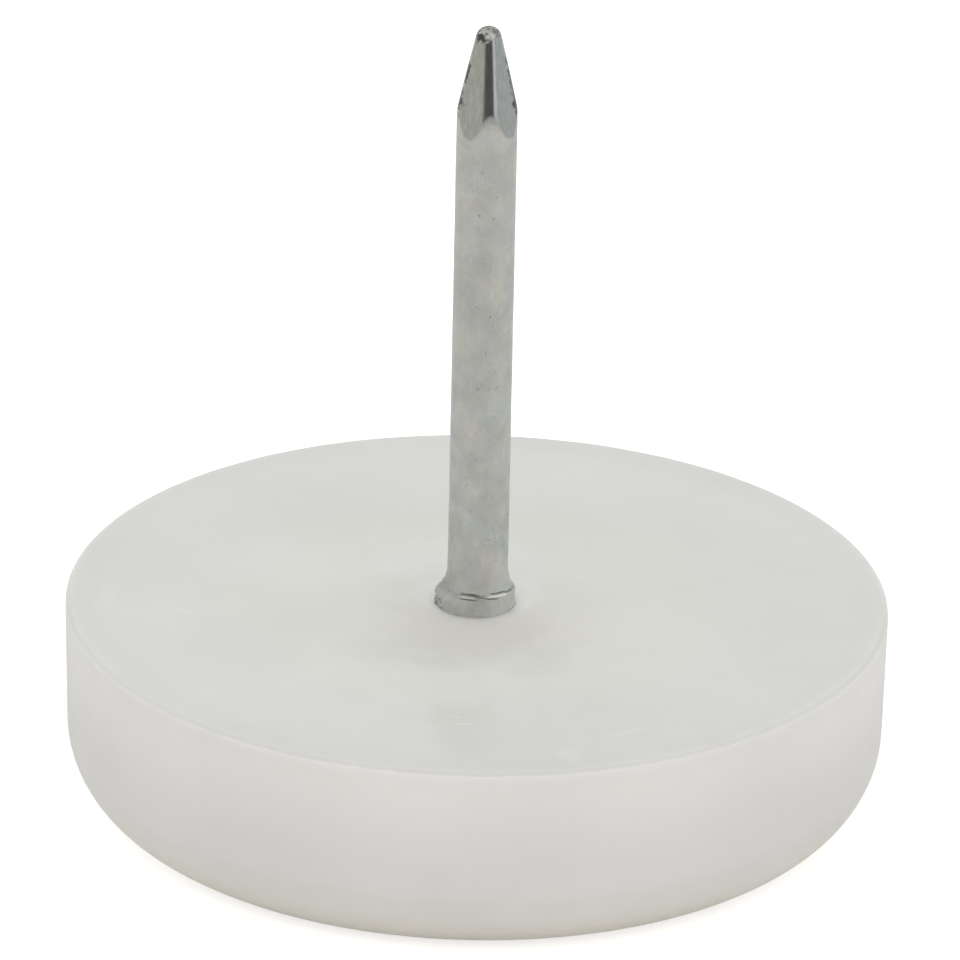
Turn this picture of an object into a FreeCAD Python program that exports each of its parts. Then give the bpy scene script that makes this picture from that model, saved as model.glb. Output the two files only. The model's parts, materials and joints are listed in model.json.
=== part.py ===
"""A nail-on furniture glide: a moulded round pad with a pointed nail set upright in it.

Millimetres, +Z up. The origin is the centre of the sole, the nail points up, and -Y is the side that is
photographed.
"""
import math
import os

import FreeCAD
import Part

Vector = FreeCAD.Vector

# the pad
PAD_D = 25.0
PAD_H = 6.5
PAD_DRAFT_DEG = 1.5
SOLE_ROUND = 2.65
RIM_ROUND = 0.15

# the nail's shank and its point
NAIL_D = 1.85
NAIL_REACH = 19.0
POINT_L = 3.5
POINT_TURN_DEG = 8.0
TIP_HALF = 0.31
TIP_RIDGE_ROUND = 0.27
ROOT_RIDGE_ROUND = 0.5
TIP_DOME_R = 0.42

# the nail's upset collar, where it leaves the pad
COLLAR_D = 2.4
COLLAR_RISE = 0.4
FLARE_H = 0.85

# the nail's head, hidden in the pad
HEAD_D = 7.5
HEAD_H = 1.0
HEAD_COVER = 2.0

TIP_Z = PAD_H + NAIL_REACH
POINT_Z = TIP_Z - POINT_L


def spin(edges):
    """The solid made by turning a closed outline, drawn in the XZ plane, about the Z axis."""
    outline = Part.Wire(edges)
    return Part.Face(outline).revolve(Vector(0, 0, 0), Vector(0, 0, 1), 360)


def lines(points):
    """Straight edges from each point to the next, the points being radius and height."""
    corners = [Vector(r, 0, z) for r, z in points]
    return [Part.makeLine(a, b) for a, b in zip(corners, corners[1:])]


def circle_at(solid, height):
    """The circular edges of a turned solid at one height."""
    flat = [e for e in solid.Edges if isinstance(e.Curve, Part.Circle)]
    return [e for e in flat if abs(e.Curve.Center.z - height) < 1e-6]


def pad_blank():
    """The pad before the nail is let into it: a flat sole, a rounded foot and a drafted wall to the rim."""
    rim_r = PAD_D / 2
    foot_r = rim_r - PAD_H * math.tan(math.radians(PAD_DRAFT_DEG))
    blank = spin(lines([(0, 0), (foot_r, 0), (rim_r, PAD_H), (0, PAD_H), (0, 0)]))
    blank = blank.makeFillet(SOLE_ROUND, circle_at(blank, 0))
    return blank.makeFillet(RIM_ROUND, circle_at(blank, PAD_H))


def flare_arc(low, high):
    """The hollow curve from a wide low point in to a narrow high one, upright where it ends."""
    (low_r, low_z), (high_r, high_z) = low, high
    step, rise = low_r - high_r, high_z - low_z
    radius = (step ** 2 + rise ** 2) / (2 * step)
    half_angle = math.asin(rise / radius) / 2
    middle = Vector(high_r + radius * (1 - math.cos(half_angle)), 0, high_z - radius * math.sin(half_angle))
    return Part.Arc(Vector(low_r, 0, low_z), middle, Vector(high_r, 0, high_z)).toShape()


def nail_body():
    """The nail below its point: head, neck, collar, flare and shank, turned in one."""
    head_r, collar_r, nail_r = HEAD_D / 2, COLLAR_D / 2, NAIL_D / 2
    head_z = HEAD_COVER + HEAD_H
    collar = (collar_r, PAD_H + COLLAR_RISE)
    shank = (nail_r, PAD_H + COLLAR_RISE + FLARE_H)
    below = lines([(0, HEAD_COVER), (head_r, HEAD_COVER), (head_r, head_z), (collar_r, head_z), collar])
    above = lines([shank, (nail_r, POINT_Z), (0, POINT_Z), (0, HEAD_COVER)])
    return spin(below + [flare_arc(collar, shank)] + above)


def rounded_square(half, corner, height):
    """A square with rounded corners, as a closed wire across the nail at one height."""
    straight = half - corner
    edges = []
    for turn in range(4):
        side = Part.makeLine(Vector(half, -straight, height), Vector(half, straight, height))
        start = Vector(half, straight, height)
        bend = straight + corner * math.sqrt(0.5)
        corner_arc = Part.Arc(start, Vector(bend, bend, height), Vector(straight, half, height)).toShape()
        for edge in (side, corner_arc):
            edge.rotate(Vector(0, 0, 0), Vector(0, 0, 1), 90 * turn)
            edges.append(edge)
    return Part.Wire(edges)


def nail_point():
    """The pinched point: the shank pressed to four facets, with rounded ridges and a blunt domed tip."""
    nail_r = NAIL_D / 2
    run_on = 1.15
    foot_half = TIP_HALF + (nail_r - TIP_HALF) * run_on
    foot_round = TIP_RIDGE_ROUND + (ROOT_RIDGE_ROUND - TIP_RIDGE_ROUND) * run_on
    foot_z = TIP_Z - POINT_L * run_on
    facets = Part.makeLoft([rounded_square(foot_half, foot_round, foot_z),
                            rounded_square(TIP_HALF, TIP_RIDGE_ROUND, TIP_Z)], True, True)
    facets.rotate(Vector(0, 0, 0), Vector(0, 0, 1), POINT_TURN_DEG - 45)
    rod = Part.makeCylinder(nail_r, POINT_L, Vector(0, 0, POINT_Z))
    dome = Part.makeSphere(TIP_DOME_R, Vector(0, 0, TIP_Z - TIP_DOME_R))
    below_dome = Part.makeCylinder(nail_r * 2, POINT_L, Vector(0, 0, TIP_Z - TIP_DOME_R - POINT_L))
    return rod.common(facets).common(dome.fuse(below_dome))


def main():
    nail = nail_body().fuse(nail_point()).removeSplitter()
    pad = pad_blank().cut(nail)
    os.makedirs("parts", exist_ok=True)
    for name, shape in (("glide_pad", pad), ("nail", nail)):
        shape.Solids[0].exportStep("parts/" + name + ".step")


main()
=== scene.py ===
"""A nail-on furniture glide, dressed: its moulded pad and its forged nail as fine meshes in a white studio.

Sizes are in millimetres and become metres where a mesh, light or camera is made. An angle round the nail is
counted from the photographed side, -Y, towards +X, in degrees.
"""
import json
import math

import bpy
from mathutils import Matrix, Vector, noise


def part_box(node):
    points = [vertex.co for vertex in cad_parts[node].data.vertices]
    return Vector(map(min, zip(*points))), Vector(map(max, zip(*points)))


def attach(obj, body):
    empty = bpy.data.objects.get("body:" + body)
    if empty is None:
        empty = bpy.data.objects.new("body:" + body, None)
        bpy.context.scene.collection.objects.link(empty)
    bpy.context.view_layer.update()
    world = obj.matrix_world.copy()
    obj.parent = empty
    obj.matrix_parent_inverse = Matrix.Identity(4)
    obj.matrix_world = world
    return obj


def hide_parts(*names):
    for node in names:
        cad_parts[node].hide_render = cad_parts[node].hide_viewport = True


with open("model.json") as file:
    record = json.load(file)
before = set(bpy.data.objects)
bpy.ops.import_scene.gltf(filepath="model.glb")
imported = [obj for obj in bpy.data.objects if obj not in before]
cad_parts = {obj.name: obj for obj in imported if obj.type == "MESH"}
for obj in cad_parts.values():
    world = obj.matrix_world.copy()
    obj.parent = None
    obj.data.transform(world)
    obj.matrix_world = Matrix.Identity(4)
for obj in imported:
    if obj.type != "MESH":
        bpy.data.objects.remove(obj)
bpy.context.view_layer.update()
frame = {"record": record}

MM = 0.001


def mount(name):
    """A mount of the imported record, by its name."""
    return next(m for m in frame["record"]["mounts"] if m["name"] == name)


# Sizes that the frame gives
PAD_LOW, PAD_HIGH = [Vector(corner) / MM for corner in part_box("glide_pad")]
NAIL_LOW, NAIL_HIGH = [Vector(corner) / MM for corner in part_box("nail")]
PAD_R = (PAD_HIGH.x - PAD_LOW.x) / 2
PAD_TOP = PAD_HIGH.z
HEAD_R = (NAIL_HIGH.x - NAIL_LOW.x) / 2
HEAD_BOTTOM = NAIL_LOW.z
TIP_Z = NAIL_HIGH.z
SHANK_R = mount("nail_shank")["dims"]["r_mm"]

# Sizes that repeat the part's own
PAD_DRAFT_DEG = 1.5
SOLE_ROUND = 2.65
RIM_ROUND = 0.15
HEAD_H = 1.0
COLLAR_R = 1.2
COLLAR_RISE = 0.4
FLARE_H = 0.85
POINT_L = 3.5
POINT_TURN_DEG = 8.0
TIP_HALF = 0.31
TIP_RIDGE_ROUND = 0.27
ROOT_RIDGE_ROUND = 0.5

# The camera, and where the photograph shows the middle of the pad's top, in its own pixels
PHOTO_PIXELS = 960
TOP_CENTRE_PIXEL = (477.0, 601.5)
PIXELS_PER_PAD_R = 411.5
CAMERA_ELEVATION_DEG = 24.2
CAMERA_ROLL_DEG = 1.2
CAMERA_DISTANCE = 800.0
SENSOR_WIDTH = 36.0


def ramp(value, low, high):
    """0 below low, 1 above high, and a smooth step between."""
    share = min(max((value - low) / (high - low), 0.0), 1.0)
    return share * share * (3 - 2 * share)


def bell(value, centre, width):
    """A smooth bump, 1 at its centre."""
    return math.exp(-((value - centre) / width) ** 2)


def angle_between(first, second):
    """The signed turn from the second angle to the first, in degrees from -180 to 180."""
    return (first - second + 180) % 360 - 180


def smooth_min(first, second, blend):
    """The lesser of two values, with the corner between them rounded over a small blend."""
    near = max(blend - abs(first - second), 0) / blend
    return min(first, second) - near * near * blend / 4


def rough(angle, height, radius, grain, seed):
    """Smooth noise from -1 to 1 on the nail's surface, with lumps about as large as the grain."""
    turn = math.radians(angle)
    place = Vector((radius * math.sin(turn), -radius * math.cos(turn), height)) / grain
    return noise.noise(place + Vector((seed * 7.3, seed * 3.1, seed * 5.7)))


def spaced(low, high, step):
    """Values from low up to, but without, high, about one step apart."""
    count = max(1, round((high - low) / step))
    return [low + (high - low) * i / count for i in range(count)]


def turned_mesh(name, rings, columns, marks=()):
    """A closed mesh of rings round the Z axis between two poles.

    Each ring is a function of the angle that gives radius, height and a value for each mark; the first and
    last rings are poles, and each mark becomes an attribute that the material can read.
    """
    points, values = [], []
    for ring in rings:
        pole = ring in (rings[0], rings[-1])
        for column in range(1 if pole else columns):
            angle = 360 * column / columns
            radius, height, *found = ring(angle)
            turn = math.radians(angle)
            points.append((radius * math.sin(turn) * MM, -radius * math.cos(turn) * MM, height * MM))
            values.append(found)
    faces = ring_faces(len(rings), columns)
    mesh = bpy.data.meshes.new(name)
    mesh.from_pydata(points, [], faces)
    for place, mark in enumerate(marks):
        layer = mesh.attributes.new(mark, "FLOAT", "POINT")
        layer.data.foreach_set("value", [found[place] for found in values])
    mesh.validate()
    mesh.shade_smooth()
    mesh.set_sharp_from_angle(angle=math.radians(40))
    piece = bpy.data.objects.new(name, mesh)
    bpy.context.collection.objects.link(piece)
    return piece


def ring_faces(rings, columns):
    """The faces of a turned mesh: a fan at each pole and four-sided faces between the rings."""
    last = 1 + (rings - 2) * columns
    faces = []
    for column in range(columns):
        after = (column + 1) % columns
        faces.append((0, 1 + after, 1 + column))
        for ring in range(rings - 3):
            low, high = 1 + ring * columns, 1 + (ring + 1) * columns
            faces.append((low + column, low + after, high + after, high + column))
        top = last - columns
        faces.append((top + column, top + after, last))
    return faces


# The pad

PAD_COLUMNS = 720

# the rim's wear
NICKS_DEG = (-36.0, -30.0, -16.5, -11.5, -2.0, 5.0, 47.0)
NICK_HALF_DEG = 0.8
NICK_DEPTH = 0.035
RIM_WEAR = 0.008

# how far the collar's foot is upset to one side, and how uneven it is
COLLAR_SHIFT = 0.04
FOOT_WAVE = 0.03


def plain_ring(radius, height):
    """A true circle."""
    return lambda angle: (radius, height)


def collar_foot(angle):
    """How far the collar's foot, upset a little to one side and uneven, lies from the nail's axis."""
    aside = COLLAR_SHIFT * math.sin(math.radians(angle))
    return COLLAR_R + FOOT_WAVE * rough(angle, 0, COLLAR_R, 0.8, 11) - aside


def neck_ring(height):
    """The pad's edge where it is moulded round the collar."""
    return lambda angle: (collar_foot(angle), height)


def nicked_ring(radius, height):
    """A circle on the rim, with the small nicks that handling has left there."""
    def ring(angle):
        nick = max(bell(angle_between(angle, place), 0, NICK_HALF_DEG) for place in NICKS_DEG)
        worn = 0.5 + 0.5 * rough(angle, 0, PAD_R, 0.7, 8)
        cut = NICK_DEPTH * nick + RIM_WEAR * worn
        return radius - cut, height - cut
    return ring


def arc_rings(centre_r, centre_z, radius, first_deg, last_deg, count, ring=plain_ring):
    """Circles along an arc of a turned outline, its angles counted up from straight outwards."""
    turns = [math.radians(first_deg + (last_deg - first_deg) * i / count) for i in range(count + 1)]
    return [ring(centre_r + radius * math.cos(t), centre_z + radius * math.sin(t)) for t in turns]


def pad_rings():
    """The pad's rings from the middle of its sole, up its side, in over its top and down to the head."""
    draft = math.radians(PAD_DRAFT_DEG)
    foot_r = PAD_R - PAD_TOP * math.tan(draft)
    sole_r = foot_r + SOLE_ROUND * (math.tan(draft) - 1 / math.cos(draft))
    rim_r = PAD_R - RIM_ROUND * math.cos(draft)
    sole = [plain_ring(r, 0) for r in spaced(0, sole_r, 1.2)]
    foot = arc_rings(sole_r, SOLE_ROUND, SOLE_ROUND, -90, -PAD_DRAFT_DEG, 22)
    rim_z = PAD_TOP - RIM_ROUND
    rim = arc_rings(rim_r, rim_z, RIM_ROUND, 0, 90, 6, nicked_ring)
    wall_low, wall_high = foot[-1](0), (PAD_R, rim_z - RIM_ROUND)
    steps = spaced(0, 1, 0.08)[1:] + [1]
    wall = [plain_ring(wall_low[0] + (wall_high[0] - wall_low[0]) * s,
                       wall_low[1] + (wall_high[1] - wall_low[1]) * s) for s in steps]
    top = [plain_ring(r, PAD_TOP) for r in reversed(spaced(COLLAR_R, rim_r, 0.3)[1:])]
    neck = [neck_ring(z) for z in (PAD_TOP, HEAD_BOTTOM + HEAD_H + 1)]
    neck.append(plain_ring(COLLAR_R, HEAD_BOTTOM + HEAD_H))
    room = [plain_ring(HEAD_R, HEAD_BOTTOM + HEAD_H), plain_ring(HEAD_R, HEAD_BOTTOM)]
    room.append(plain_ring(0, HEAD_BOTTOM))
    return sole + foot + wall + rim + top + neck + room


def make_pad():
    pad = turned_mesh("moulded_pad", pad_rings(), PAD_COLUMNS)
    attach(pad, "root")
    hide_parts("glide_pad")
    return pad


# The nail

NAIL_COLUMNS = 300
# marks the material reads: pressed facets, torn flash and chip, cracks and hollows with painted shade, lips
# with a painted highlight
NAIL_MARKS = ("pressed", "torn", "crack", "lip")

# how uneven the shank and the facets are, and how far in the burnish of each ridge begins
SHANK_WAVE = 0.006
FACET_WAVE = 0.008
RIDGE_BURNISH = 0.08

# the blunt tip: how wide its torn middle is, how it rounds off, and a chip out of its left
TIP_FLAT_R = 0.08
TIP_SHOULDER_R = 0.33
TIP_SHOULDER_DROP = 0.15
TIP_TEAR = 0.04
CHIP_DEG = -42.0
CHIP_DROP = 0.27
CHIP_DEPTH = 0.05

# the flash torn off two ridges of the point
FLASH_DEG = (-84.0, 94.0)
FLASH_HEIGHT = 0.005

# the laps where the collar's upset metal is folded over, and how far down the cracks and lips lie there
LAP_RISE = 0.67
LAP_WIDTH = 0.024
LAP_DEPTH = 0.04
MAIN_DROP = 0.11
UNDER_DROP = 0.12
LIP_WIDTH = 0.018
LIP_HEIGHT = 0.03
LIP_DROP = 0.03
STRAND_DROP = 0.05

# the burr on the collar's left side, and how far the folded band leans in
BURR_DEG = -84.0
BURR_TOP = 0.72
BURR_HEIGHT = 0.06
FOLD_LEAN = 0.04


def facet_reach(angle, below_tip):
    """How far the point's four facets and rounded ridges lie from the axis, this far below the tip."""
    share = below_tip / POINT_L
    half = TIP_HALF + (SHANK_R - TIP_HALF) * share
    corner = TIP_RIDGE_ROUND + (ROOT_RIDGE_ROUND - TIP_RIDGE_ROUND) * share
    off_ridge = abs((angle - POINT_TURN_DEG + 45) % 90 - 45)
    off_facet = math.radians(45 - off_ridge)
    straight = half - corner
    if math.tan(off_facet) <= straight / half:
        return half / math.cos(off_facet)
    centre = straight * math.sqrt(2)
    across = centre * math.sin(math.radians(off_ridge))
    return centre * math.cos(math.radians(off_ridge)) + math.sqrt(corner ** 2 - across ** 2)


def tip_reach(below_tip):
    """How far the blunt tip's rounding lies from the axis."""
    return TIP_FLAT_R + (TIP_SHOULDER_R - TIP_FLAT_R) * math.sqrt(max(below_tip, 0) / TIP_SHOULDER_DROP)


def stem_reach(rise):
    """The collar, its flare and the shank, this far above the pad's top."""
    left = COLLAR_RISE + FLARE_H - rise
    if left <= 0:
        return SHANK_R
    step = COLLAR_R - SHANK_R
    radius = (step ** 2 + FLARE_H ** 2) / (2 * step)
    curved = min(left, FLARE_H)
    flare = SHANK_R + radius - math.sqrt(radius ** 2 - curved ** 2) + left - curved
    return smooth_min(COLLAR_R, flare, 0.05)


def stretch(side, first, last):
    """1 from one angle to another, fading out over a few degrees at each end."""
    return ramp(side, first - 2, first + 8) * (1 - ramp(side, last - 8, last + 2))


def lap_line(side):
    """How high above the pad the folded band of the collar ends."""
    wander = 0.02 * rough(side, 0, COLLAR_R, 0.35, 1) + 0.012 * rough(side, 0, COLLAR_R, 0.12, 9)
    return LAP_RISE - 0.13 * ramp(side, 25, 85) + wander


def lap_shape(side, rise):
    """How deep the cracks of the folded collar are here, and how strong the lips between them are; the cracks
    get painted shade and the lips a painted highlight.
    """
    height = rise - lap_line(side)
    thick = LAP_WIDTH * (1 + 0.8 * rough(side, 0, COLLAR_R, 0.25, 7))
    main = stretch(side, -31, 38) * bell(height, -MAIN_DROP * ramp(side, -5, 25), 0.75 * thick)
    under = stretch(side, -29, 1) * bell(height, -UNDER_DROP, 1.2 * thick)
    over = stretch(side, 20, 95) * bell(height, 0.01, 0.7 * thick)
    lip = stretch(side, 14, 55) * bell(height, -LIP_DROP, LIP_WIDTH)
    strand = stretch(side, -29, 1) * bell(height, -STRAND_DROP, LIP_WIDTH)
    return max(main, 0.9 * under, 0.9 * over), max(lip, 0.7 * strand)


def burr_shape(side, rise):
    """How far the rough burr on the collar's left stands out, and how much painted shade its hollows get."""
    place = bell(angle_between(side, BURR_DEG), 0, 24)
    place *= 1 - ramp(rise, BURR_TOP - 0.05, BURR_TOP)
    fine = rough(side, rise, COLLAR_R, 0.09, 13)
    lumps = rough(side, rise, COLLAR_R, 0.22, 2) + 0.6 * fine
    shaded_hollow = place * ramp(fine, 0.05, 0.35) * (1 - ramp(rise, 0.3, 0.5))
    return place * BURR_HEIGHT * (0.7 + lumps), shaded_hollow


def fold_shape(side, rise):
    """How far the folded band stands out of the flare, round the front and the right of the collar."""
    round_front = ramp(side, -60, -30) * (1 - ramp(side, 115, 150))
    below_lap = 1 - ramp(rise - lap_line(side), -0.05, 0)
    return round_front * below_lap * (COLLAR_R - FOLD_LEAN * rise - stem_reach(rise))


def flash_shape(angle, below_tip):
    """How strong the torn flash is along the two ridges where the pinching dies met."""
    found = 0
    for edge in FLASH_DEG:
        lumps = rough(edge, below_tip, 0.6, 0.28, 4) + 0.5 * rough(angle, below_tip, 0.6, 0.1, 5)
        reach = ramp(below_tip, 0.6, 1.3) * (1 - ramp(below_tip, 2.7, 2.95))
        near = bell(angle_between(angle, edge), 0, 23)
        found = max(found, reach * ramp(near + 0.6 * lumps, 0.55, 0.85))
    return found


def chip_shape(angle, below_tip):
    """How strong the chip in the tip's left is."""
    near = bell(angle_between(angle, CHIP_DEG), 0, 34) * bell(below_tip, CHIP_DROP, 0.15)
    return ramp(near + 0.35 * rough(angle, below_tip, TIP_HALF, 0.1, 12), 0.35, 0.75)


def nail_ring(height, widest=HEAD_R):
    """One ring of the nail above its head, as radius, height and marks at each angle."""
    below_tip = TIP_Z - height
    rise = height - PAD_TOP

    def ring(angle):
        side = angle_between(angle, 0)
        radius = stem_reach(rise) - SHANK_WAVE * (1 + rough(angle, height, SHANK_R, 0.9, 3))
        radius += (collar_foot(angle) - COLLAR_R) * (1 - ramp(rise, 0.2, 0.8))
        pressed = torn = crack = lip = 0.0
        sunk = 0.0
        if 0 < rise < COLLAR_RISE + FLARE_H:
            crack, lip = lap_shape(side, rise)
            burr, shaded_hollow = burr_shape(side, rise)
            radius += LIP_HEIGHT * lip - LAP_DEPTH * crack + burr + fold_shape(side, rise)
            # the cracks and the burr's hollows carry painted shade in the material
            crack = max(crack, shaded_hollow)
        if below_tip < POINT_L:
            facet = facet_reach(angle, below_tip)
            on_ridge = bell((angle - POINT_TURN_DEG + 45) % 90, 45, 20)
            uneven = FACET_WAVE * rough(angle, below_tip, SHANK_R, 0.25, 14)
            inset = SHANK_R - facet + uneven + RIDGE_BURNISH * on_ridge
            pressed = ramp(inset, 0, 0.02 + 0.05 * on_ridge) * ramp(below_tip, 0.05, 0.2)
            flash = flash_shape(angle, below_tip)
            chip = chip_shape(angle, below_tip)
            torn = max(flash, chip)
            radius = smooth_min(radius, facet, 0.008 + 0.04 * on_ridge)
            radius += FLASH_HEIGHT * flash - CHIP_DEPTH * chip
            radius = min(smooth_min(radius, tip_reach(below_tip), 0.06), widest)
            edge = 1 - ramp(below_tip, 0.02, 0.25)
            sunk = edge * TIP_TEAR * (0.5 + 0.5 * rough(angle, 0, radius, 0.2, 6))
        return radius, height - sunk, pressed, torn, crack, lip

    return ring


def nail_rings():
    """The nail's rings from the middle of its head's underside up to the tip."""
    def plain(radius, height):
        return lambda angle: (radius, height, 0.0, 0.0, 0.0, 0.0)

    head_top = HEAD_BOTTOM + HEAD_H
    flare_top = PAD_TOP + COLLAR_RISE + FLARE_H
    point_foot = TIP_Z - POINT_L * 1.02
    shoulder = TIP_Z - TIP_SHOULDER_DROP
    head = [plain(0, HEAD_BOTTOM), plain(HEAD_R, HEAD_BOTTOM)]
    head += [plain(HEAD_R, head_top), plain(COLLAR_R, head_top)]
    heights = spaced(head_top + 1, PAD_TOP, 1.0) + spaced(PAD_TOP, flare_top, 0.016)
    heights += spaced(flare_top, point_foot, 0.25) + spaced(point_foot, shoulder, 0.03)
    heights += [TIP_Z - TIP_SHOULDER_DROP * (1 - share) ** 2 for share in spaced(0, 1, 0.1)]
    flat = [nail_ring(TIP_Z, TIP_FLAT_R * share) for share in (1, 0.75, 0.5, 0.25)]
    return head + [nail_ring(z) for z in heights] + flat + [plain(0, TIP_Z - TIP_TEAR / 2)]


def make_nail():
    nail = turned_mesh("forged_nail", nail_rings(), NAIL_COLUMNS, NAIL_MARKS)
    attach(nail, "root")
    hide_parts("nail")
    return nail


# Materials

class Nodes:
    """A short way to add and join the nodes of one material or world."""

    def __init__(self, tree):
        self.tree = tree

    def add(self, kind, **settings):
        """A node with its settings; a socket goes by its name, with underscores for spaces."""
        node = self.tree.nodes.new(kind)
        for key, value in settings.items():
            if hasattr(node, key):
                setattr(node, key, value)
            else:
                self.put(node.inputs[key.replace("_", " ")], value)
        return node

    def put(self, socket, value):
        """Set a socket, or join it to another socket."""
        if isinstance(value, bpy.types.NodeSocket):
            self.tree.links.new(value, socket)
        else:
            socket.default_value = value

    def math(self, operation, first, second=0.0):
        node = self.tree.nodes.new("ShaderNodeMath")
        node.operation = operation
        self.put(node.inputs[0], first)
        self.put(node.inputs[1], second)
        return node.outputs[0]

    def mix(self, share, first, second):
        """A colour between two colours."""
        node = self.tree.nodes.new("ShaderNodeMix")
        node.data_type = "RGBA"
        self.put(node.inputs["Factor"], share)
        self.put(node.inputs[6], first)
        self.put(node.inputs[7], second)
        return node.outputs[2]

    def between(self, value, low, high, to_low=0.0, to_high=1.0):
        """A value carried from one range to another, held at the ends."""
        node = self.tree.nodes.new("ShaderNodeMapRange")
        node.interpolation_type = "SMOOTHSTEP"
        for place, each in enumerate((value, low, high, to_low, to_high)):
            self.put(node.inputs[place], each)
        return node.outputs[0]

    def cloud(self, place, grain, seed, detail=3.0):
        """Noise with lumps about as large as the grain, in millimetres."""
        node = self.tree.nodes.new("ShaderNodeTexNoise")
        node.noise_dimensions = "4D"
        self.put(node.inputs["Vector"], place)
        self.put(node.inputs["W"], seed)
        self.put(node.inputs["Scale"], 1 / (grain * MM))
        self.put(node.inputs["Detail"], detail)
        return node.outputs["Fac"]

    def moved(self, place, **settings):
        """Coordinates measured from another place, turn and scale."""
        node = self.add("ShaderNodeMapping", vector_type="TEXTURE", Vector=place, **settings)
        return node.outputs["Vector"]

    def times(self, tone, factor):
        """A colour made lighter or darker."""
        node = self.add("ShaderNodeVectorMath", operation="MULTIPLY", Vector=tone)
        self.put(node.inputs[1], factor)
        return node.outputs["Vector"]

    def length(self, way):
        return self.add("ShaderNodeVectorMath", operation="LENGTH", Vector=way).outputs["Value"]


def new_material(name):
    """A material with its nodes and its main shader."""
    material = bpy.data.materials.new(name)
    material.use_nodes = True
    return material, Nodes(material.node_tree), material.node_tree.nodes["Principled BSDF"]


# soft marks on the pad's top: the middle of each, half its size, its turn, its strength and its tone; some
# are painted light and shade, the others smudges and scuffs
PAINTED_LIGHT_WHITE = (0.97, 0.97, 0.95, 1)
PALE_SCUFF_AND_LIGHT = (0.86, 0.86, 0.85, 1)
PINKISH = (0.745, 0.715, 0.705, 1)
PAINTED_SHADE_GREY = (0.69, 0.676, 0.66, 1)
DIM_SHADE_AND_SMUDGE = (0.6, 0.585, 0.56, 1)
TOP_MARKS = (
    # painted shade: the front of the top darker
    ((0.0, -13.0), (15.0, 9.0), 0, 0.55, PAINTED_SHADE_GREY),
    # painted light: round the collar, behind the nail and towards the back-left
    ((0.0, 0.3), (2.6, 2.6), 0, 0.85, PAINTED_LIGHT_WHITE),
    ((0.0, 2.4), (4.6, 3.8), 0, 0.42, PALE_SCUFF_AND_LIGHT),
    ((-4.8, 2.4), (4.5, 3.0), 0, 0.2, PALE_SCUFF_AND_LIGHT),
    # painted shade: the right of the top darker
    ((10.2, -3.0), (3.5, 5.0), 0, 0.35, PAINTED_SHADE_GREY),
    ((0.2, -1.8), (7.0, 3.6), 0, 0.6, PINKISH),
    # painted shade of the hidden head, seen through the plastic in front of the nail
    ((-0.1, -2.5), (4.4, 3.7), 0, 0.55, DIM_SHADE_AND_SMUDGE),
    # a dim smudge near the front rim, then pale scuffs
    ((-0.4, -9.3), (1.5, 3.0), 0, 0.25, DIM_SHADE_AND_SMUDGE),
    ((-11.2, -0.2), (0.5, 1.5), -12, 0.2, PALE_SCUFF_AND_LIGHT),
    ((2.9, -11.0), (0.6, 0.7), 0, 0.2, PALE_SCUFF_AND_LIGHT),
    ((4.6, -9.2), (0.9, 0.3), 30, 0.2, PALE_SCUFF_AND_LIGHT),
    ((-8.9, -1.1), (0.5, 0.07), -30, 0.5, PALE_SCUFF_AND_LIGHT),
    ((-0.3, -8.9), (0.4, 0.07), 4, 0.5, PALE_SCUFF_AND_LIGHT),
    ((-0.6, -8.4), (0.3, 0.06), -25, 0.5, PALE_SCUFF_AND_LIGHT),
    # painted light that lifts the contact shade beside the collar
    ((-1.25, 0.0), (0.6, 0.9), 0, 0.4, PAINTED_LIGHT_WHITE),
    ((1.25, 0.0), (0.6, 0.9), 0, 0.4, PAINTED_LIGHT_WHITE),
)


def patch(nodes, place, uneven, middle, half_size, turn_deg):
    """Where one mark on the pad's top is, as a soft oval with an uneven edge."""
    oval = nodes.moved(place, Location=(middle[0] * MM, middle[1] * MM, PAD_TOP * MM),
                       Rotation=(0, 0, math.radians(turn_deg)),
                       Scale=(half_size[0] * MM, half_size[1] * MM, 0.5 * MM))
    return nodes.between(nodes.math("ADD", nodes.length(oval), uneven), 0.2, 1.0, 1.0, 0.0)


def top_tone(nodes, place, from_axis):
    """The pad's top: yellowish in the middle, scuffed, with painted light behind and round the nail and
    painted shade of the hidden head.
    """
    broad = nodes.math("MULTIPLY", nodes.cloud(place, 4.0, 3.0), 6 * MM)
    tone = nodes.mix(nodes.between(nodes.math("ADD", from_axis, broad), 8 * MM, 13.5 * MM),
                     (0.747, 0.75, 0.714, 1), (0.747, 0.747, 0.736, 1))
    uneven = nodes.between(nodes.cloud(place, 1.2, 7.0, 1.0), 0.3, 0.7, -0.1, 0.1)
    for middle, half_size, turn_deg, strength, colour in TOP_MARKS:
        mark = patch(nodes, place, uneven, middle, half_size, turn_deg)
        tone = nodes.mix(nodes.math("MULTIPLY", mark, strength), tone, colour)
    return nodes.times(tone, nodes.between(from_axis, (PAD_R - 1.5) * MM, (PAD_R - 0.3) * MM, 1.0, 0.965))


def wall_tone(nodes, height):
    """The pad's side, in painted light and shade: palest just below the rim, duller towards the foot, paler
    at the sole, where it is yellowish.
    """
    yellowed = nodes.between(height, 0.6 * MM, 2.0 * MM, 1.0, 0.0)
    tone = nodes.mix(yellowed, (0.75, 0.747, 0.742, 1), (0.75, 0.745, 0.698, 1))
    # painted light at the sole, lifting the contact shadow
    tone = nodes.times(tone, nodes.between(height, 1.0 * MM, 2.2 * MM, 1.09, 1.0))
    # painted light and shade: lighter up the side, darker towards the foot
    tone = nodes.times(tone, nodes.between(height, 2.8 * MM, 5.8 * MM, 0.965, 1.055))
    # painted shade in the band just under the rim
    return nodes.times(tone, nodes.between(height, (PAD_TOP - 0.8) * MM, (PAD_TOP - 0.2) * MM, 1.0, 0.96))


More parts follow.
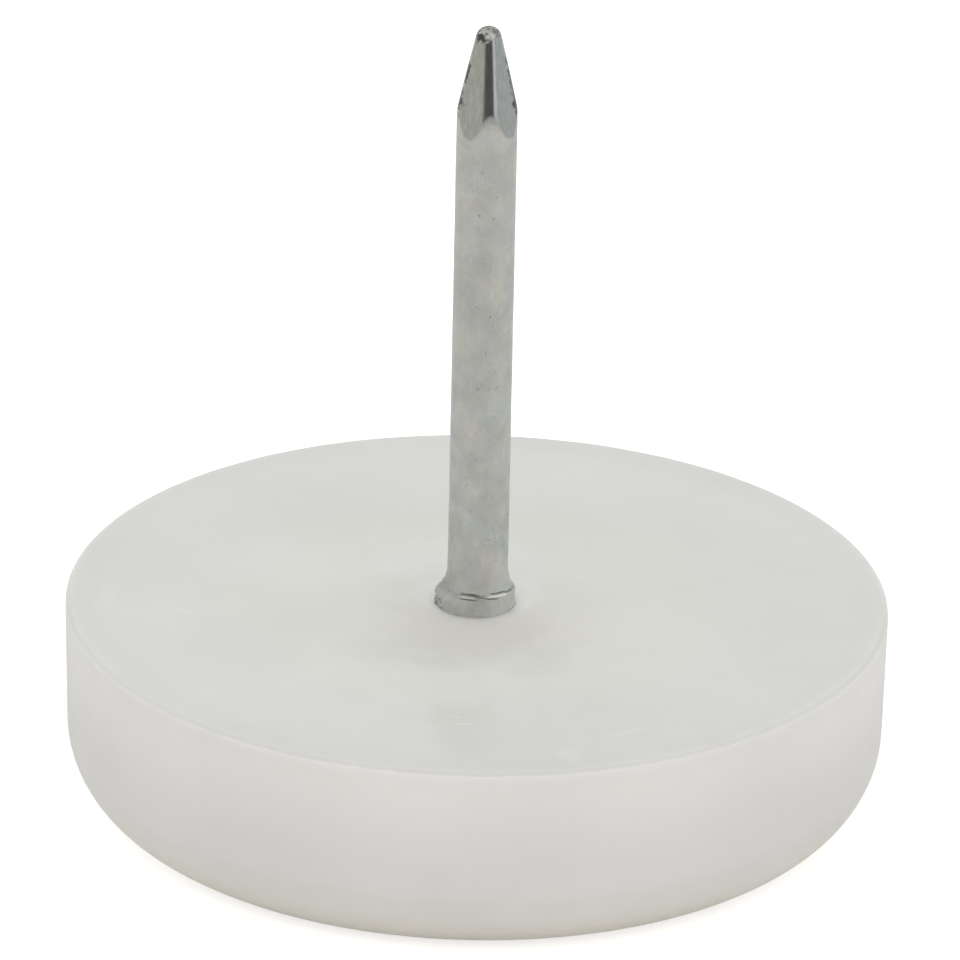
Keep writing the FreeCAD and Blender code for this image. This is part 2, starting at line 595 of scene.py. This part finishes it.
def plastic_material():
    """Milky polyethylene that lets light in a little way: cloudy, with painted shade along the front of its
    rim and painted light along its back.
    """
    material, nodes, shader = new_material("milky_plastic")
    place = nodes.add("ShaderNodeTexCoord").outputs["Object"]
    _, depth, height = nodes.add("ShaderNodeSeparateXYZ", Vector=place).outputs
    from_axis = nodes.length(nodes.moved(place, Scale=(1, 1, 1000)))
    on_top = nodes.between(height, (PAD_TOP - 0.12) * MM, (PAD_TOP - 0.04) * MM)
    tone = nodes.mix(on_top, wall_tone(nodes, height), top_tone(nodes, place, from_axis))
    near_rim = nodes.math("MULTIPLY", nodes.between(from_axis, (PAD_R - 0.2) * MM, (PAD_R - 0.08) * MM),
                          nodes.between(height, (PAD_TOP - 0.13) * MM, (PAD_TOP - 0.06) * MM))
    # painted shade along the front of the rim and painted light along its back
    painted_rim_shade_and_light = nodes.between(depth, -2 * MM, 2 * MM, 0.92, 1.05)
    tone = nodes.times(tone, nodes.between(near_rim, 0.0, 1.0, 1.0, painted_rim_shade_and_light))
    tone = nodes.times(tone, nodes.between(nodes.cloud(place, 5.0, 0.0), 0.3, 0.7, 0.98, 1.02))
    nodes.put(shader.inputs["Base Color"], tone)
    nodes.put(shader.inputs["Roughness"], nodes.between(nodes.cloud(place, 0.8, 1.0), 0.3, 0.7, 0.6, 0.72))
    shader.inputs["Subsurface Weight"].default_value = 0.5
    shader.inputs["Subsurface Radius"].default_value = (1.0, 0.95, 0.9)
    shader.inputs["Subsurface Scale"].default_value = 1.0 * MM
    shader.inputs["IOR"].default_value = 1.5
    shader.inputs["Specular IOR Level"].default_value = 0.2
    return material


def shank_tone(nodes, place, mottle, across, height):
    """The shank's dull zinc: warm and cool patches, mottled, with bright scratches, a few dark pits, and
    painted light and shade near the collar.
    """
    warm = nodes.between(nodes.cloud(place, 0.9, 0.0), 0.35, 0.65)
    tone = nodes.mix(warm, (0.432, 0.453, 0.446, 1), (0.466, 0.463, 0.431, 1))
    tone = nodes.mix(nodes.between(mottle, 0.3, 0.55, 0.55, 0.0), tone, (0.36, 0.368, 0.365, 1))
    tone = nodes.mix(nodes.between(mottle, 0.5, 0.75, 0.0, 0.55), tone, (0.55, 0.55, 0.535, 1))
    tone = nodes.times(tone, nodes.between(nodes.cloud(place, 0.07, 7.0, 2.0), 0.3, 0.7, 0.97, 1.03))
    scratches = nodes.cloud(nodes.moved(place, Scale=(1, 1, 8)), 0.05, 5.0, 1.0)
    tone = nodes.mix(nodes.between(scratches, 0.66, 0.76, 0.0, 0.5), tone, (0.62, 0.62, 0.6, 1))
    pits = nodes.between(nodes.cloud(place, 0.12, 2.0, 1.0), 0.7, 0.76)
    tone = nodes.mix(pits, tone, (0.31, 0.31, 0.3, 1))
    # lighter towards the pad
    lighter_near_pad = nodes.between(height, (PAD_TOP + 1) * MM, (PAD_TOP + 10) * MM, 1.19, 1.0)
    # painted shade on the flare
    painted_flare_shade = nodes.between(height, (PAD_TOP + 0.6) * MM, (PAD_TOP + 1.4) * MM, 0.84, 1.0)
    # painted light on the collar's wall below the laps
    painted_collar_light = nodes.between(height, (PAD_TOP + 0.45) * MM, (PAD_TOP + 0.7) * MM, 1.14, 1.0)
    # painted reflection on the right of the shank just above the flare
    painted_right_reflection = nodes.between(height, (PAD_TOP + 0.7) * MM, (PAD_TOP + 2.5) * MM, 1.2, 1.0)
    painted_right_reflection = nodes.between(across, 0.2 * MM, 0.8 * MM, 1.0, painted_right_reflection)
    patches = nodes.between(nodes.cloud(place, 0.8, 6.0), 0.35, 0.65, 0.95, 1.05)
    for factor in (lighter_near_pad, painted_flare_shade, painted_collar_light, painted_right_reflection, patches):
        tone = nodes.times(tone, factor)
    return tone


def facet_tone(nodes, place, across):
    """The burnished facets: lines drawn along the nail, warmer on the left and cooler on the right."""
    drawn = nodes.cloud(nodes.moved(place, Scale=(1, 1, 18)), 0.06, 3.0)
    tone = nodes.mix(nodes.between(drawn, 0.3, 0.7), (0.215, 0.226, 0.216, 1), (0.27, 0.28, 0.268, 1))
    tint = nodes.mix(nodes.between(across, -0.4 * MM, 0.4 * MM), (1.01, 1, 0.94, 1), (0.96, 1, 1.03, 1))
    return nodes.times(tone, tint)


def zinc_material():
    """Dull mottled zinc, burnished on the point's facets, dark where it is torn, ragged at the tip, with
    painted shade in the laps' cracks and a painted highlight on their lips.
    """
    material, nodes, shader = new_material("zinc_plate")
    place = nodes.add("ShaderNodeTexCoord").outputs["Object"]
    across, _, height = nodes.add("ShaderNodeSeparateXYZ", Vector=place).outputs
    pressed, torn, crack, lip = [nodes.add("ShaderNodeAttribute", attribute_name=name).outputs["Fac"]
                                 for name in NAIL_MARKS]
    mottle = nodes.cloud(nodes.moved(place, Scale=(1, 1, 1.6)), 0.25, 1.0)
    shank = shank_tone(nodes, place, mottle, across, height)
    tone = nodes.mix(pressed, shank, facet_tone(nodes, place, across))
    ragged = nodes.between(height, (TIP_Z - 0.3) * MM, (TIP_Z - 0.1) * MM)
    torn_tip = nodes.between(nodes.cloud(place, 0.13, 4.0), 0.4, 0.62)
    torn_tip = nodes.mix(torn_tip, (0.22, 0.22, 0.21, 1), (0.55, 0.55, 0.53, 1))
    tone = nodes.mix(ragged, tone, torn_tip)
    tone = nodes.mix(torn, tone, (0.045, 0.045, 0.045, 1))
    # painted shade in the collar's cracks and the burr's hollows
    tone = nodes.mix(crack, tone, (0.2, 0.2, 0.18, 1))
    # painted highlight on the lips and the strand of the laps
    tone = nodes.mix(lip, tone, (0.95, 0.95, 0.93, 1))
    nodes.put(shader.inputs["Base Color"], tone)
    dull = nodes.between(mottle, 0.3, 0.7, 0.6, 0.75)
    nodes.put(shader.inputs["Roughness"], nodes.between(pressed, 0.0, 1.0, dull, 0.2))
    shader.inputs["Metallic"].default_value = 1.0
    return material


# The studio

# the floor, just under the sole so that the two don't coincide
FLOOR_R = 260.0
FLOOR_DROP = 0.01

# where the tent's low dark gap and bright strip fade in and out, from -1 at the left to 1 at the right
GAP_SIDES = (-0.97, -0.5, 0.5, 0.68)
STRIP_SIDES = (0.6, 0.74, 0.84, 0.96)


def make_floor():
    """A plain white floor: white to the eye all over, still taking the object's shadow."""
    bpy.ops.mesh.primitive_circle_add(vertices=96, radius=FLOOR_R * MM, fill_type="NGON")
    floor = bpy.context.object
    floor.location.z = -FLOOR_DROP * MM
    floor.name = "floor"
    material, nodes, shader = new_material("white_floor")
    path = nodes.add("ShaderNodeLightPath").outputs
    seen = nodes.math("MAXIMUM", path["Is Camera Ray"], path["Is Glossy Ray"])
    seen = nodes.math("MAXIMUM", seen, path["Is Transmission Ray"])
    shader.inputs["Base Color"].default_value = (0.72, 0.697, 0.67, 1)
    shader.inputs["Roughness"].default_value = 0.9
    shader.inputs["Specular IOR Level"].default_value = 0.0
    shader.inputs["Emission Color"].default_value = (1, 1, 1, 1)
    nodes.put(shader.inputs["Emission Strength"], nodes.math("MULTIPLY", seen, 0.66))
    floor.data.materials.append(material)


def make_world():
    """A soft white tent, brightest at the front, with a dark gap and a bright strip low down there."""
    world = bpy.data.worlds.new("studio")
    bpy.context.scene.world = world
    world.use_nodes = True
    nodes = Nodes(world.node_tree)
    sky = world.node_tree.nodes["Background"]
    way = nodes.add("ShaderNodeTexCoord").outputs["Generated"]
    parts = nodes.add("ShaderNodeSeparateXYZ", Vector=way).outputs
    walls = nodes.mix(nodes.between(parts["Y"], -0.72, 0.32), (1.39, 1.35, 1.33, 1), (0.78, 0.8, 0.78, 1))
    tent = nodes.mix(nodes.between(parts["Z"], 0.55, 0.95), walls, (0.77, 0.79, 0.77, 1))
    low_front = nodes.math("MULTIPLY", nodes.between(parts["Y"], -0.2, 0.0, 1.0, 0.0),
                           nodes.between(parts["Z"], 0.08, 0.18, 1.0, 0.0))

    def low_band(sides):
        """Low down at the front, from the first two sideways directions to the last two."""
        left = nodes.between(parts["X"], sides[0], sides[1])
        right = nodes.between(parts["X"], sides[2], sides[3], 1.0, 0.0)
        return nodes.math("MULTIPLY", nodes.math("MULTIPLY", left, right), low_front)

    tent = nodes.mix(low_band(STRIP_SIDES), tent, (1.95, 1.95, 2.0, 1))
    tent = nodes.mix(low_band(GAP_SIDES), tent, (0.06, 0.06, 0.06, 1))
    nodes.put(sky.inputs["Color"], tent)


def make_camera():
    """The photograph's view: far off with a long lens, looking down a little and slightly rolled."""
    elevation = math.radians(CAMERA_ELEVATION_DEG)
    roll = math.radians(CAMERA_ROLL_DEG)
    towards = Vector((0, -math.cos(elevation), math.sin(elevation)))
    level, upright = Vector((1, 0, 0)), Vector((0, math.sin(elevation), math.cos(elevation)))
    right = level * math.cos(roll) + upright * math.sin(roll)
    up = upright * math.cos(roll) - level * math.sin(roll)
    mm_per_pixel = PAD_R / PIXELS_PER_PAD_R
    middle = PHOTO_PIXELS / 2
    aim = Vector((0, 0, PAD_TOP))
    aim += right * (middle - TOP_CENTRE_PIXEL[0]) * mm_per_pixel
    aim += up * (TOP_CENTRE_PIXEL[1] - middle) * mm_per_pixel
    lens = bpy.data.cameras.new("camera")
    lens.sensor_width = SENSOR_WIDTH
    lens.lens = SENSOR_WIDTH * CAMERA_DISTANCE / (PHOTO_PIXELS * mm_per_pixel)
    lens.clip_start = 0.01
    camera = bpy.data.objects.new("camera", lens)
    camera.matrix_world = Matrix((right, up, towards)).transposed().to_4x4()
    camera.location = (aim + towards * CAMERA_DISTANCE) * MM
    bpy.context.collection.objects.link(camera)
    bpy.context.scene.camera = camera


def main():
    make_pad().data.materials.append(plastic_material())
    make_nail().data.materials.append(zinc_material())
    make_floor()
    make_world()
    make_camera()
    bpy.context.scene.view_settings.view_transform = "Standard"
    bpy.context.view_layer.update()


main()
